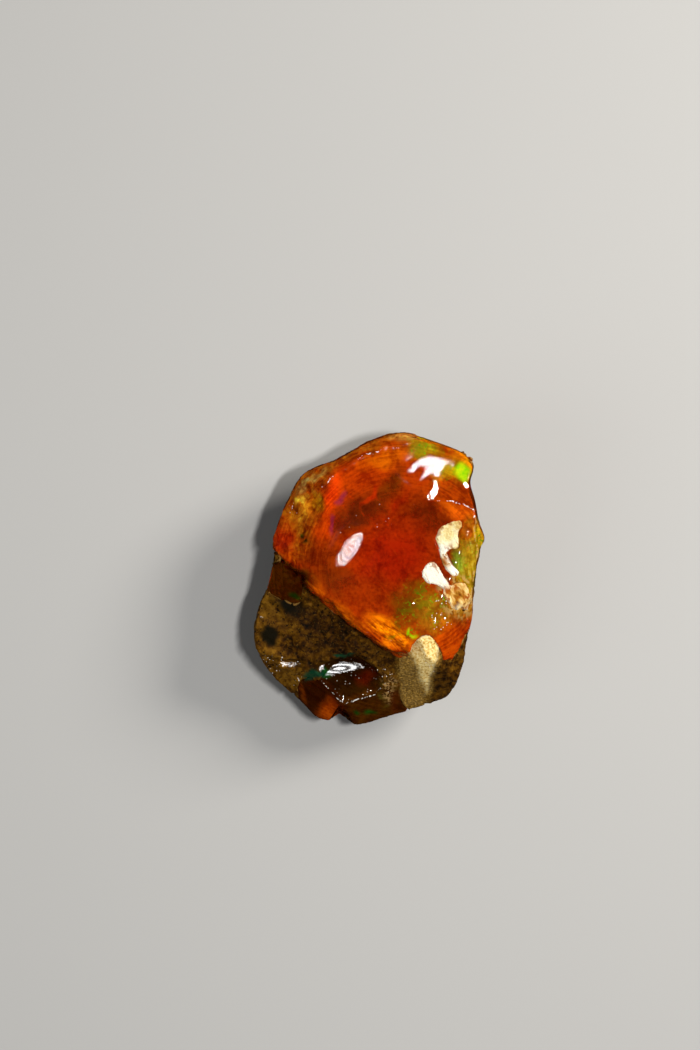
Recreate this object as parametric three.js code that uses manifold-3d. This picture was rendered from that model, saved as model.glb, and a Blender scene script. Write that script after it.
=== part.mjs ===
// Rough precious opal in its host rock, lying on its broken flat back.
// Units are millimetres. +Z is up from the surface the stone lies on, +Y runs along the stone's length
// and +X across it. The origin is on the resting plane, under the middle of the stone.
//
// The stone is one lumpy nodule, broken flat behind and along several faces in front. Two materials
// share it. The translucent opal fills the upper part, a pocket at the left edge and two lobes at the
// lower end. The brown host rock carries it from behind, comes to the surface below the opal's ledge,
// and reaches through to the front as a tongue and as islands.
import * as THREE from "three";
import { mergeVertices } from "three/addons/utils/BufferGeometryUtils.js";
import Module from "manifold-3d";

const wasm = await Module();
wasm.setup();

// Driving dimensions.
const WAIST = 12.5; // height of the widest level above the resting plane
const CROWN = 12.0; // from the waist to the top of the unbroken nodule
const KEEL = 15.5; // from the waist to the bottom of the unbroken nodule, below the flat break
const SQUARENESS = 2.8; // exponent of the nodule's side profile: 2 is an ellipsoid, more is boxier
const FACE = 16.8; // height of the deepest point of the broad bowl on top
const GAP = 0.3; // between opal and host rock
const LUMP_SIZE = 13; // wavelength of the nodule's broad lumps
const LUMP_HEIGHT = 0.35;
const NODULE_DETAIL = 10; // subdivisions of the nodule's surface
const CUT_STEP = 2.6; // spacing of the vertices on a fracture face
const CUT_SPREAD = 56; // width of the block that a fracture takes away, wider than the stone
const CUT_DEPTH = 40; // its depth
const LUMP_STEP = 2.9; // spacing of the vertices on a rounded lump or scoop
const ABOVE = 24; // a height above the whole stone

// The stone's outline at its waist, anticlockwise from the top.
const OUTLINE = [
  [5.6, 22.1], [2.4, 21.7], [-0.2, 20.6], [-3.2, 19.0], [-5.6, 17.7], [-8.4, 16.7], [-10.6, 14.8],
  [-12.9, 10.4], [-14.2, 6.3], [-14.2, 3.1], [-15.0, -0.4], [-16.5, -4.0], [-17.2, -8.0],
  [-16.2, -11.8], [-12.9, -16.1], [-10.3, -18.6], [-8.1, -20.8], [-6.0, -21.3], [-3.4, -21.6],
  [-1.2, -22.2], [2.0, -21.5], [8.0, -19.6], [11.8, -17.8], [13.9, -13.2], [14.9, -8.4],
  [15.5, -5.0], [15.7, -0.8], [16.5, 4.2], [17.3, 6.2], [16.5, 8.7], [15.9, 11.9], [15.2, 14.6],
  [15.7, 17.0], [14.8, 18.5], [12.5, 19.8], [8.6, 21.2],
];

// Smooth lumps in about -1 to 1 with a wavelength of about `size`. `layer` picks an unrelated pattern.
function lumps(p, size, layer = 0) {
  const k = (2 * Math.PI) / size;
  const shift = 2.4 * layer;
  const x = k * p.x;
  const y = k * p.y;
  const z = k * p.z;
  const u = x + 0.8 * Math.sin(0.63 * y + 0.35 * z + shift);
  const v = y + 0.8 * Math.sin(0.57 * z + 0.41 * x + 1.3 * shift);
  const w = z + 0.8 * Math.sin(0.71 * x + 0.29 * y + 1.9 * shift);
  const a = Math.sin(u + 0.7 * v + shift);
  const b = Math.sin(v - 0.6 * w + 2 * shift);
  const c = Math.sin(w + 0.5 * u + 3 * shift);
  return (a + b + c) / 3;
}

// The outline's distance from the middle in the direction of `angle`.
const outlineCurve = new THREE.CatmullRomCurve3(
  OUTLINE.map(([x, y]) => new THREE.Vector3(x, y, 0)),
  true,
  "centripetal",
);
const outlinePoints = outlineCurve
  .getPoints(720)
  .map((p) => ({ angle: Math.atan2(p.y, p.x), radius: Math.hypot(p.x, p.y) }))
  .sort((a, b) => a.angle - b.angle);

function outlineRadius(angle) {
  const after = outlinePoints.findIndex((p) => p.angle >= angle);
  const b = outlinePoints[after < 0 ? 0 : after];
  const a = outlinePoints.at((after < 0 ? 0 : after) - 1);
  const span = (b.angle - a.angle + 2 * Math.PI) % (2 * Math.PI);
  const along = ((angle - a.angle + 2 * Math.PI) % (2 * Math.PI)) / (span || 1);
  return THREE.MathUtils.lerp(a.radius, b.radius, Math.min(along, 1));
}

// A closed geometry as a manifold-3d solid, with its shared vertices merged.
function solidOf(geometry) {
  geometry.deleteAttribute("normal");
  geometry.deleteAttribute("uv");
  const merged = mergeVertices(geometry, 1e-4);
  return new wasm.Manifold(
    new wasm.Mesh({
      numProp: 3,
      vertProperties: new Float32Array(merged.attributes.position.array),
      triVerts: new Uint32Array(merged.index.array),
    }),
  );
}

// A solid as a named three.js mesh.
function meshOf(name, solid, material) {
  const { vertProperties, triVerts } = solid.getMesh();
  const geometry = new THREE.BufferGeometry()
    .setAttribute("position", new THREE.BufferAttribute(new Float32Array(vertProperties), 3))
    .setIndex(new THREE.BufferAttribute(new Uint32Array(triVerts), 1));
  geometry.computeVertexNormals();
  const mesh = new THREE.Mesh(geometry, material);
  mesh.name = name;
  return mesh;
}

// Moves every vertex of a geometry to place(vertex).
function reshape(geometry, place) {
  const position = geometry.attributes.position;
  const p = new THREE.Vector3();
  for (let i = 0; i < position.count; i++) {
    const moved = place(p.fromBufferAttribute(position, i));
    position.setXYZ(i, moved.x, moved.y, moved.z);
  }
  return geometry;
}

// The whole stone before it broke: the outline at its waist, closed over above and below.
function nodule() {
  const shape = new THREE.IcosahedronGeometry(1, NODULE_DETAIL);
  reshape(shape, (d) => {
    const flat = Math.hypot(d.x, d.y);
    const reach = outlineRadius(Math.atan2(d.y, d.x));
    const height = d.z > 0 ? CROWN : KEEL;
    const radius =
      ((flat / reach) ** SQUARENESS + (Math.abs(d.z) / height) ** SQUARENESS) ** (-1 / SQUARENESS);
    const p = d.clone().multiplyScalar(radius);
    const swell = LUMP_HEIGHT * lumps(p, LUMP_SIZE) * Math.min(1, Math.abs(p.z) / 4);
    return p.addScaledVector(d, swell).add(new THREE.Vector3(0, 0, WAIST));
  });
  return solidOf(shape);
}

// A rounded lump: an ellipsoid, tilted so that its own +Z points along `along`, with a lumpy surface.
function lump({ at, radii, along = [0, 0, 1], rough = 0.5, size = 5, layer = 1, grow = 0 }) {
  const detail = Math.max(2, Math.round(Math.max(...radii) / LUMP_STEP));
  const shape = new THREE.IcosahedronGeometry(1, detail);
  const turn = new THREE.Quaternion().setFromUnitVectors(
    new THREE.Vector3(0, 0, 1),
    new THREE.Vector3(...along).normalize(),
  );
  const centre = new THREE.Vector3(...at);
  const axes = new THREE.Vector3(...radii).addScalar(grow);
  reshape(shape, (d) => {
    const p = d.clone().multiply(axes).applyQuaternion(turn);
    p.addScaledVector(d.clone().applyQuaternion(turn), rough * lumps(p, size, layer));
    return p.add(centre);
  });
  return solidOf(shape);
}

// A column with the given outline seen from above, from the height `from` to above the stone.
function column({ outline, from, grow = 0 }) {
  const section = new wasm.CrossSection([outline]).offset(grow, "Miter");
  return section.extrude(ABOVE - from + grow).translate([0, 0, from - grow]);
}

// What a fracture takes away: a block whose underside is the fracture face. The face passes through
// `at` and the stone's new surface there looks along `facing`. `bow` is the face's radius of curvature,
// scooped where it is positive and bulging where it is negative, and `across` is its radius along its
// own Y where that differs. `waves` is the height of its lumps.
function chip({ at, facing, bow = 60, across = bow, waves = 0.12, size = 9, layer = 2 }) {
  const segments = Math.ceil(CUT_SPREAD / CUT_STEP);
  const shape = new THREE.BoxGeometry(CUT_SPREAD, CUT_SPREAD, CUT_DEPTH, segments, segments, 1);
  reshape(shape, (p) => {
    if (p.z > 0) return p.setZ(CUT_DEPTH);
    p.setZ(0);
    return p.setZ(p.x ** 2 / (2 * bow) + p.y ** 2 / (2 * across) + waves * lumps(p, size, layer));
  });
  const turn = new THREE.Quaternion().setFromUnitVectors(
    new THREE.Vector3(0, 0, 1),
    new THREE.Vector3(...facing).normalize(),
  );
  shape.applyQuaternion(turn).translate(...at);
  return solidOf(shape);
}

const joined = (solids) => solids.reduce((a, b) => a.add(b));
const cutBy = (solid, cutters) => cutters.reduce((a, b) => a.subtract(b), solid);

// Fractures that both materials share. The stone's new surface looks along `facing`.
const FRACTURES = [
  // the flat back it lies on
  { at: [0, 0, 0], facing: [0, 0, -1], bow: Infinity, waves: 0 },
  // the broad conchoidal bowl on top
  { at: [2, 3, FACE], facing: [0.03, 0.04, 1], bow: 60, waves: 0.1 },
  // the flake at the upper right
  { at: [11, 17.6, FACE], facing: [0, 0, 1], bow: 30 },
  // the right flank
  { at: [12.8, 3.0, FACE + 0.8], facing: [0.44, -0.2, 0.87], bow: 60 },
  // the lumpy lower right corner
  { at: [9.5, -7.0, FACE + 0.3], facing: [0.26, -0.2, 0.95], bow: 90, waves: 0.35, size: 6, layer: 3 },
  // the lower right side
  { at: [11.5, -13, FACE - 3.2], facing: [0.62, -0.25, 0.74], bow: 60 },
  // the crusted left shoulder
  { at: [-8.4, 9.5, FACE + 0.2], facing: [-0.52, 0.08, 0.85], bow: 80, waves: 0.35, size: 5, layer: 4 },
  // the upper left edge
  { at: [-1, 18.2, FACE + 1.5], facing: [-0.28, 0.62, 0.73], bow: -24, waves: 0.2, size: 5, layer: 6 },
  // below the hollow's rim
  { at: [-1.0, -17.2, FACE - 5.2], facing: [0.3, -0.68, 0.68], bow: 30 },
  // the left lobe
  { at: [-5.8, -16.6, FACE - 5.2], facing: [-0.5, -0.52, 0.7], bow: 26 },
];

// The hollow at the lower end: its wall and its floor, a trough that runs from left to right.
const HOLLOW_WALL = { at: [-2.9, -16.4, FACE], radii: [6.4, 5.4, 8], rough: 0.3 };
const HOLLOW_FLOOR = { at: [-3.4, -14, FACE - 5.8], facing: [0.11, 0.08, 1], bow: 140, across: 14 };

// The two faces of the notch between the two lobes.
const NOTCH = [
  { at: [-4.4, -19.0, 9], facing: [0.72, -0.66, 0.12], bow: 20 },
  { at: [-4.4, -19.0, 9], facing: [-0.73, -0.68, 0.12], bow: 20 },
];

// Softer material that wore away below the opal's ledge.
const WEAR = [
  { at: [-8, -7, FACE - 3.6], facing: [-0.18, -0.12, 0.97], bow: 40, waves: 0.3, size: 6, layer: 7 },
  { at: [-1, -12.2, FACE - 3.6], facing: [0, -0.4, 0.91], bow: 18, waves: 0.3, size: 6, layer: 8 },
];

// The opal's main mass, and the faces that end it at the ledge and at the lower right.
const OPAL_MAIN = { at: [0.8, 4.5, 15.6], radii: [19, 20.8, 11.2], rough: 0.9, size: 11, layer: 1 };
const LEDGE = {
  at: [-3.2, -6.3, 12], facing: [-0.61, -0.79, 0.05], bow: -60, waves: 0.3, size: 7, layer: 5,
};
const LOWER_RIGHT_END = {
  at: [12, -11.8, 12], facing: [0.1, -0.99, 0.1], bow: -30, waves: 0.3, size: 7, layer: 9,
};

// The opal below the ledge: the two lobes with the hollow, and the neck under the rock that joins
// them to the main mass.
const OPAL_LOWER = [
  { at: [-1.8, -15.0, 7.4], radii: [8.8, 10.2, 5.2], rough: 0.5, size: 9, layer: 3 },
  { at: [0, -7, 8.6], radii: [7, 7, 4.2], rough: 0.5, layer: 4 },
];

// The opal's pocket at the left edge. Its upper right side lies inside the main mass.
const POCKET = {
  from: 9,
  outline: [
    [-13.4, 2.8], [-14.8, 1.6], [-15.6, 0], [-15, -1.7], [-13, -2.8], [-11.2, -3.7], [-10.4, -3.2],
    [-10.1, -1.4], [-9.6, 0.8],
  ],
};

// Host rock that reaches through the opal to the front: the tongue's upper and lower halves, and the
// root that carries the islands.
const ROCK_LUMPS = [
  { at: [8.2, -11.4, 13.6], radii: [2.7, 3.7, 7], rough: 0.3, size: 5, layer: 5 },
  { at: [7.0, -15.6, 11.0], radii: [2.6, 5.4, 7], rough: 0.3, size: 5, layer: 6 },
  { at: [14, 1.6, 8], radii: [6, 9.4, 4.4], rough: 0.5, layer: 8 },
];

// The islands: the bean-shaped one, the pale one below it, the streak between them and the ragged one
// at the right edge.
const ISLANDS = [
  {
    from: 9,
    outline: [
      [9.8, 6.3], [10.4, 4.9], [11.3, 4.0], [12.2, 4.7], [13.2, 4.7], [13.5, 5.9], [13.1, 7.0],
      [13.9, 8.2], [14.1, 9.0], [12.2, 8.8], [10.5, 8.0],
    ],
  },
  {
    from: 9,
    outline: [
      [7.8, 1.0], [8.4, -0.4], [9.6, -0.6], [10.7, -1.1], [11.6, -1.8], [12.2, -1.3], [11.7, -0.2],
      [11.0, 0.8], [10.4, 1.9], [9.8, 2.8], [8.8, 2.7], [8.2, 1.9],
    ],
  },
  {
    from: 9,
    outline: [
      [10.5, 5.0], [10.5, 3.4], [11.0, 2.2], [11.7, 1.3], [12.3, 0.6], [13.0, 0.6], [13.2, 1.2],
      [12.5, 2.2], [11.9, 3.3], [11.4, 4.6],
    ],
  },
  {
    from: 9,
    outline: [
      [10.8, -2.2], [11.6, -3.1], [12.2, -4.2], [13.0, -4.5], [13.6, -3.6], [13.9, -4.9],
      [14.6, -4.3], [15.2, -3.0], [14.8, -1.8], [14.4, -0.3], [13.0, -0.3], [12.0, -0.8], [11.0, -1.2],
    ],
  },
];

// The form of the opal inside the nodule, larger by `grow` all round.
function opalForm(grow) {
  const ends = [LEDGE, LOWER_RIGHT_END].map((face) => {
    const away = new THREE.Vector3(...face.facing).normalize().multiplyScalar(grow);
    return chip({ ...face, at: new THREE.Vector3(...face.at).add(away).toArray() });
  });
  const main = cutBy(lump({ ...OPAL_MAIN, grow }), ends);
  const lower = [...OPAL_LOWER.map((form) => lump({ ...form, grow })), column({ ...POCKET, grow })];
  const worn = cutBy(joined(lower), WEAR.map(chip));
  const rockLumps = ROCK_LUMPS.map((form) => lump({ ...form, grow: -grow }));
  const islands = ISLANDS.map((form) => column({ ...form, grow: -grow }));
  return cutBy(main.add(worn), [...rockLumps, ...islands]);
}

const notch = NOTCH.map(chip).reduce((a, b) => a.intersect(b));
const hollow = lump(HOLLOW_WALL).intersect(chip(HOLLOW_FLOOR));
const stone = cutBy(nodule(), [...FRACTURES.map(chip), hollow, notch]);
const opalSolid = stone.intersect(opalForm(0));
const rockSolid = cutBy(stone.subtract(opalForm(GAP)), WEAR.map(chip));

const opal = meshOf(
  "opal",
  opalSolid,
  new THREE.MeshStandardMaterial({ color: 0xc8430c, roughness: 0.08, metalness: 0 }),
);
const hostRock = meshOf(
  "host_rock",
  rockSolid,
  new THREE.MeshStandardMaterial({ color: 0x8a6a34, roughness: 0.6, metalness: 0 }),
);

const part = new THREE.Group();
part.add(opal, hostRock);

export default part;
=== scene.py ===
"""A rough precious opal in its host rock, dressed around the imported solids.

Both pieces are fine meshes of the same recipe as the solids: a nodule with an outline at its waist,
broken by fractures, parted into opal and rock by lumps. Lengths in the recipe are millimetres, and
the meshes are made in metres. +Z is up, and the broken opal face looks up.
"""
import math

import bpy
import numpy as np
from mathutils import Matrix, Vector, noise

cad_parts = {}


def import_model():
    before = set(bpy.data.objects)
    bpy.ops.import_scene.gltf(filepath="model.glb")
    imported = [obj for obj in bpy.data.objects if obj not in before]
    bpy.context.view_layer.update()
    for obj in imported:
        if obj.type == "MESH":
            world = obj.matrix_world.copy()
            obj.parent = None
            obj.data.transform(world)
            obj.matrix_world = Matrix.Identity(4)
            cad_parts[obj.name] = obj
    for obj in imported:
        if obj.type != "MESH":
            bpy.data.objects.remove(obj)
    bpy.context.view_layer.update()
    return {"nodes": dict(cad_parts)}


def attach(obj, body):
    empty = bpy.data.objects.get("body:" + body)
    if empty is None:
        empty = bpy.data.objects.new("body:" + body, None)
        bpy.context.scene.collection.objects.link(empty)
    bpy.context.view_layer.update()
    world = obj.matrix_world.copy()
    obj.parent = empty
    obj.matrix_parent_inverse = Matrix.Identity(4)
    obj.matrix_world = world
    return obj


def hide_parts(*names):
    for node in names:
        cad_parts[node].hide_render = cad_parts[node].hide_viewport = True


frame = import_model()
MM = 0.001

# ---------------------------------------------------------------- the recipe

WAIST = 12.5  # height of the widest level
CROWN = 12.0  # from the waist to the top of the unbroken nodule
KEEL = 15.5  # from the waist to its bottom
SQUARENESS = 2.8
FACE = 16.8  # height of the deepest point of the bowl
LUMP_SIZE = 13.0
LUMP_HEIGHT = 0.35
OVERLAP = 0.2  # how far each material reaches into the other, so that no air lies between them
RECESS = 0.08  # how far the rock's face lies below the opal's beside it
ISLAND_RISE = 0.05  # how far the islands stand above the opal round them
ROUNDING = 0.2  # how far an edge between two faces is worn round
BASE_TOP = 5.0  # the rock's face isn't recessed below this height, so it rests on the plane
OPAL_VOXEL = 0.23  # edge lengths of the fine meshes
ROCK_VOXEL = 0.27
PASSES = 4  # of smoothing a fine mesh and moving it onto its surface

OUTLINE = [
    (5.6, 22.1), (2.4, 21.7), (-0.2, 20.6), (-3.2, 19), (-5.6, 17.7), (-8.4, 16.7), (-10.6, 14.8),
    (-12.9, 10.4), (-14.2, 6.3), (-14.2, 3.1), (-15, -0.4), (-16.5, -4), (-17.2, -8),
    (-16.2, -11.8), (-12.9, -16.1), (-10.3, -18.6), (-8.1, -20.8), (-6, -21.3), (-3.4, -21.6),
    (-1.2, -22.2), (2, -21.5), (8, -19.6), (11.8, -17.8), (13.9, -13.2), (14.9, -8.4),
    (15.5, -5), (15.7, -0.8), (16.5, 4.2), (17.3, 6.2), (16.5, 8.7), (15.9, 11.9), (15.2, 14.6),
    (15.7, 17), (14.8, 18.5), (12.5, 19.8), (8.6, 21.2),
]
BASE = dict(at=(0, 0, 0), facing=(0, 0, -1), bow=math.inf, waves=0)
FRACTURES = [
    BASE,
    dict(at=(2, 3, FACE), facing=(0.03, 0.04, 1), bow=60, waves=0.02),  # the bowl
    dict(at=(11, 17.6, FACE), facing=(0, 0, 1), bow=30),  # the flake at the upper right
    dict(at=(12.8, 3, FACE + 0.8), facing=(0.44, -0.2, 0.87), bow=60),  # right flank
    dict(at=(9.5, -7, FACE + 0.3), facing=(0.26, -0.2, 0.95), bow=90, waves=0.35, size=6, layer=3),
    dict(at=(11.5, -13, FACE - 3.2), facing=(0.62, -0.25, 0.74), bow=60),  # lower right side
    dict(at=(-8.4, 9.5, FACE + 0.2), facing=(-0.52, 0.08, 0.85), bow=80, waves=0.35, size=5, layer=4),
    dict(at=(-1, 18.2, FACE + 1.5), facing=(-0.28, 0.62, 0.73), bow=-24, waves=0.2, size=5, layer=6),
    dict(at=(-1, -17.2, FACE - 5.2), facing=(0.3, -0.68, 0.68), bow=30),  # below the hollow's rim
    dict(at=(-5.8, -16.6, FACE - 5.2), facing=(-0.5, -0.52, 0.7), bow=26),  # left lobe
]
HOLLOW_WALL = dict(at=(-2.9, -16.4, FACE), radii=(6.4, 5.4, 8), rough=0.3)
HOLLOW_FLOOR = dict(at=(-3.4, -14, FACE - 5.8), facing=(0.11, 0.08, 1), bow=140, across=14, waves=0.02)
HOLLOW_CORNER = 0.9  # how far the corner between its wall and its floor is rounded
NOTCH = [
    dict(at=(-4.4, -19, 9), facing=(0.72, -0.66, 0.12), bow=20),
    dict(at=(-4.4, -19, 9), facing=(-0.73, -0.68, 0.12), bow=20),
]
WEAR = [
    dict(at=(-8, -7, FACE - 3.6), facing=(-0.18, -0.12, 0.97), bow=40, waves=0.3, size=6, layer=7),
    dict(at=(-1, -12.2, FACE - 3.6), facing=(0, -0.4, 0.91), bow=18, waves=0.3, size=6, layer=8),
]
OPAL_MAIN = dict(at=(0.8, 4.5, 15.6), radii=(19, 20.8, 11.2), rough=0.9, size=11, layer=1)
ENDS = [
    dict(at=(-3.2, -6.3, 12), facing=(-0.61, -0.79, 0.05), bow=-60, waves=0.3, size=7, layer=5),  # the ledge
    dict(at=(12, -11.8, 12), facing=(0.1, -0.99, 0.1), bow=-30, waves=0.3, size=7, layer=9),  # lower right
]
OPAL_LOWER = [
    dict(at=(-1.8, -15, 7.4), radii=(8.8, 10.2, 5.2), rough=0.5, size=9, layer=3),  # the lobes
    dict(at=(0, -7, 8.6), radii=(7, 7, 4.2), rough=0.5, layer=4),  # the neck under the rock
]
COLUMN_FOOT = 9.0  # the height from which the pocket and the islands come up
POCKET = [
    (-13.4, 2.8), (-14.8, 1.6), (-15.6, 0), (-15, -1.7), (-13, -2.8), (-11.2, -3.7), (-10.4, -3.2),
    (-10.1, -1.4), (-9.6, 0.8),
]
ROCK_LUMPS = [
    dict(at=(8.2, -11.4, 13.6), radii=(2.7, 3.7, 7), rough=0.3, size=5, layer=5),  # the tongue
    dict(at=(7, -15.6, 11), radii=(2.6, 5.4, 7), rough=0.3, size=5, layer=6),
    dict(at=(14, 1.6, 8), radii=(6, 9.4, 4.4), rough=0.5, layer=8),  # the root of the islands
]
BEAN = [
    (9.8, 6.3), (10.4, 4.9), (11.3, 4), (12.2, 4.7), (13.2, 4.7), (13.5, 5.9), (13.1, 7),
    (13.9, 8.2), (14.1, 9), (12.2, 8.8), (10.5, 8),
]
PALE_ISLAND = [
    (7.8, 1), (8.4, -0.4), (9.6, -0.6), (10.7, -1.1), (11.6, -1.8), (12.2, -1.3), (11.7, -0.2),
    (11, 0.8), (10.4, 1.9), (9.8, 2.8), (8.8, 2.7), (8.2, 1.9),
]
PALE_STREAK = [
    (10.5, 5), (10.5, 3.4), (11, 2.2), (11.7, 1.3), (12.3, 0.6), (13, 0.6), (13.2, 1.2),
    (12.5, 2.2), (11.9, 3.3), (11.4, 4.6),
]
EDGE_ISLAND = [
    (10.8, -2.2), (11.6, -3.1), (12.2, -4.2), (13, -4.5), (13.6, -3.6), (13.9, -4.9), (14.6, -4.3),
    (15.2, -3), (14.8, -1.8), (14.4, -0.3), (13, -0.3), (12, -0.8), (11, -1.2),
]
ISLANDS = [BEAN, PALE_ISLAND, PALE_STREAK, EDGE_ISLAND]

# ------------------------------------------------- the recipe as distances
# Each function takes points in millimetres and returns about how far outside the form they are.


def lumps(p, size, layer=0):
    """Smooth lumps in about -1 to 1 with a wavelength of about `size`."""
    x, y, z = (2 * math.pi / size) * p.T
    shift = 2.4 * layer
    u = x + 0.8 * np.sin(0.63 * y + 0.35 * z + shift)
    v = y + 0.8 * np.sin(0.57 * z + 0.41 * x + 1.3 * shift)
    w = z + 0.8 * np.sin(0.71 * x + 0.29 * y + 1.9 * shift)
    a = np.sin(u + 0.7 * v + shift)
    b = np.sin(v - 0.6 * w + 2 * shift)
    c = np.sin(w + 0.5 * u + 3 * shift)
    return (a + b + c) / 3


def smooth(value, low, high):
    t = np.clip((value - low) / (high - low), 0, 1)
    return t * t * (3 - 2 * t)


def turned(direction):
    """The rotation that takes +Z to `direction`, as an array."""
    return np.array(Vector((0, 0, 1)).rotation_difference(Vector(direction)).to_matrix())


def outline_curve(points, steps=12):
    """(angle, radius) along the smooth closed curve through the points, sorted by angle."""
    b = np.array(points)
    a, c, d = np.roll(b, 1, axis=0), np.roll(b, -1, axis=0), np.roll(b, -2, axis=0)
    t = (np.arange(steps) / steps)[:, None, None]
    curve = b + 0.5 * t * (c - a + t * (2 * a - 5 * b + 4 * c - d + t * (3 * (b - c) + d - a)))
    x, y = curve.reshape(-1, 2).T
    angle = np.arctan2(y, x)
    order = np.argsort(angle)
    return angle[order], np.hypot(x, y)[order]


OUTLINE_ANGLE, OUTLINE_RADIUS = outline_curve(OUTLINE)
LEDGE_TURN = np.array([(0.79, -0.61, 0), (0.61, 0.79, 0), (0, 0, 1)]).T  # +X along the ledge


def nodule(p):
    q = p - (0, 0, WAIST)
    reach = np.interp(np.arctan2(q[:, 1], q[:, 0]), OUTLINE_ANGLE, OUTLINE_RADIUS, period=2 * math.pi)
    height = np.where(q[:, 2] > 0, CROWN, KEEL)
    flat = np.hypot(q[:, 0], q[:, 1])
    scale = (flat / reach) ** SQUARENESS + (np.abs(q[:, 2]) / height) ** SQUARENESS
    scale = np.maximum(scale, 1e-6) ** (1 / SQUARENESS)
    on_surface = q / scale[:, None]
    swell = LUMP_HEIGHT * lumps(on_surface, LUMP_SIZE) * np.minimum(1, np.abs(on_surface[:, 2]) / 4)
    return np.linalg.norm(q, axis=1) * (1 - 1 / scale) - swell


def chip(p, at, facing, bow=60, across=None, waves=0.12, size=9, layer=2):
    """Above zero on the side that the fracture takes away."""
    x, y, z = ((p - at) @ turned(facing)).T
    scoop = x**2 / (2 * bow) + y**2 / (2 * (across or bow))
    return z - scoop - waves * lumps(np.stack((x, y, 0 * z), axis=1), size, layer)


def lump(p, at, radii, rough=0.5, size=5, layer=1):
    """An upright ellipsoid with bumps on it."""
    q = p - at
    scale = np.maximum(np.linalg.norm(q / radii, axis=1), 1e-3)
    bumps = rough * lumps(q / scale[:, None], size, layer)
    return np.linalg.norm(q, axis=1) * (1 - 1 / scale) - bumps


def from_line(x, y, points):
    """How far each place is from the line through the points, seen from above."""
    near = np.full(len(x), 1e9)
    for (ax, ay), (bx, by) in zip(points, points[1:]):
        dx, dy = bx - ax, by - ay
        t = np.clip(((x - ax) * dx + (y - ay) * dy) / (dx * dx + dy * dy), 0, 1)
        near = np.minimum(near, np.hypot(x - ax - t * dx, y - ay - t * dy))
    return near


def beyond(x, y, outline):
    """How far outside a closed outline each place is, seen from above."""
    closed = outline + outline[:1]
    near = from_line(x, y, closed)
    inside = np.zeros(len(x), bool)
    for (ax, ay), (bx, by) in zip(closed, closed[1:]):
        if ay != by:
            inside ^= ((ay > y) != (by > y)) & (x < ax + (y - ay) * (bx - ax) / (by - ay))
    return np.where(inside, -near, near)


def softened(outline, cuts=2):
    """The outline with its corners cut off, `cuts` times over."""
    points = np.array(outline)
    for _ in range(cuts):
        after = np.roll(points, -1, axis=0)
        points = np.stack((0.8 * points + 0.2 * after, 0.2 * points + 0.8 * after), axis=1).reshape(-1, 2)
    return points.tolist()


def column(p, outline):
    return both(beyond(p[:, 0], p[:, 1], outline), COLUMN_FOOT - p[:, 2])


def both(*fields, rounding=ROUNDING):
    """The intersection of forms, with the edge between them worn round."""
    total = fields[0]
    for field in fields[1:]:
        overlap = np.maximum(rounding - np.abs(total - field), 0)
        total = np.maximum(total, field) + overlap**2 / (4 * rounding)
    return total


def stone(p):
    """The whole stone: both materials together."""
    notch = np.minimum(chip(p, **NOTCH[0]), chip(p, **NOTCH[1]))
    hollow = -both(lump(p, **HOLLOW_WALL), -chip(p, **HOLLOW_FLOOR), rounding=HOLLOW_CORNER)
    return both(nodule(p), *[chip(p, **cut) for cut in FRACTURES], hollow, notch)


def wear(p):
    return both(*[chip(p, **cut) for cut in WEAR])


def opal_form(p):
    """The form of the opal inside the stone, with a ragged contact."""
    main = both(lump(p, **OPAL_MAIN), *[chip(p, **end) for end in ENDS])
    lower = np.minimum.reduce([lump(p, **form) for form in OPAL_LOWER] + [column(p, POCKET)])
    rock = [lump(p, **form) for form in ROCK_LUMPS] + [column(p, softened(island)) for island in ISLANDS]
    ragged = 0.2 * lumps(p, 2.7, 11) + 0.12 * lumps(p, 1.3, 12)
    return both(np.minimum(main, both(lower, wear(p))), -np.minimum.reduce(rock)) + ragged


def opal_field(p):
    return both(stone(p), opal_form(p) - OVERLAP / 2, rounding=0.12)


def rock_field(p):
    islands = smooth(p[:, 0], 6.5, 7.5) * smooth(p[:, 1], -6, -5.2) * smooth(p[:, 2], 10, 11)
    recess = RECESS * (p[:, 2] > BASE_TOP) * (1 - islands) - ISLAND_RISE * islands
    return both(both(stone(p), wear(p)) + recess, -opal_form(p) - OVERLAP, rounding=0.12)


# ------------------------------------------------------------ fine meshes


def relaxed(p, edges, share=0.5):
    """Each point moved part of the way to the mean of its neighbours."""
    start = np.concatenate((edges[:, 0], edges[:, 1]))
    end = np.concatenate((edges[:, 1], edges[:, 0]))
    count = np.bincount(start, minlength=len(p))
    total = [np.bincount(start, p[end, axis], minlength=len(p)) for axis in range(3)]
    return p + share * (np.array(total).T / count[:, None] - p)


def onto(p, field, reach=0.5, step=0.02):
    """Each point moved along the gradient to where the field is zero, but no further than `reach`."""
    value = field(p)
    gradient = np.array([field(p + step * axis) - value for axis in np.eye(3)]).T / step
    length = np.maximum(np.linalg.norm(gradient, axis=1), 0.3)
    move = np.clip(value / length, -reach, reach)
    return p - gradient * (move / length)[:, None]


def placed(name, data):
    """A new object, in the scene."""
    obj = bpy.data.objects.new(name, data)
    bpy.context.scene.collection.objects.link(obj)
    return obj


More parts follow.
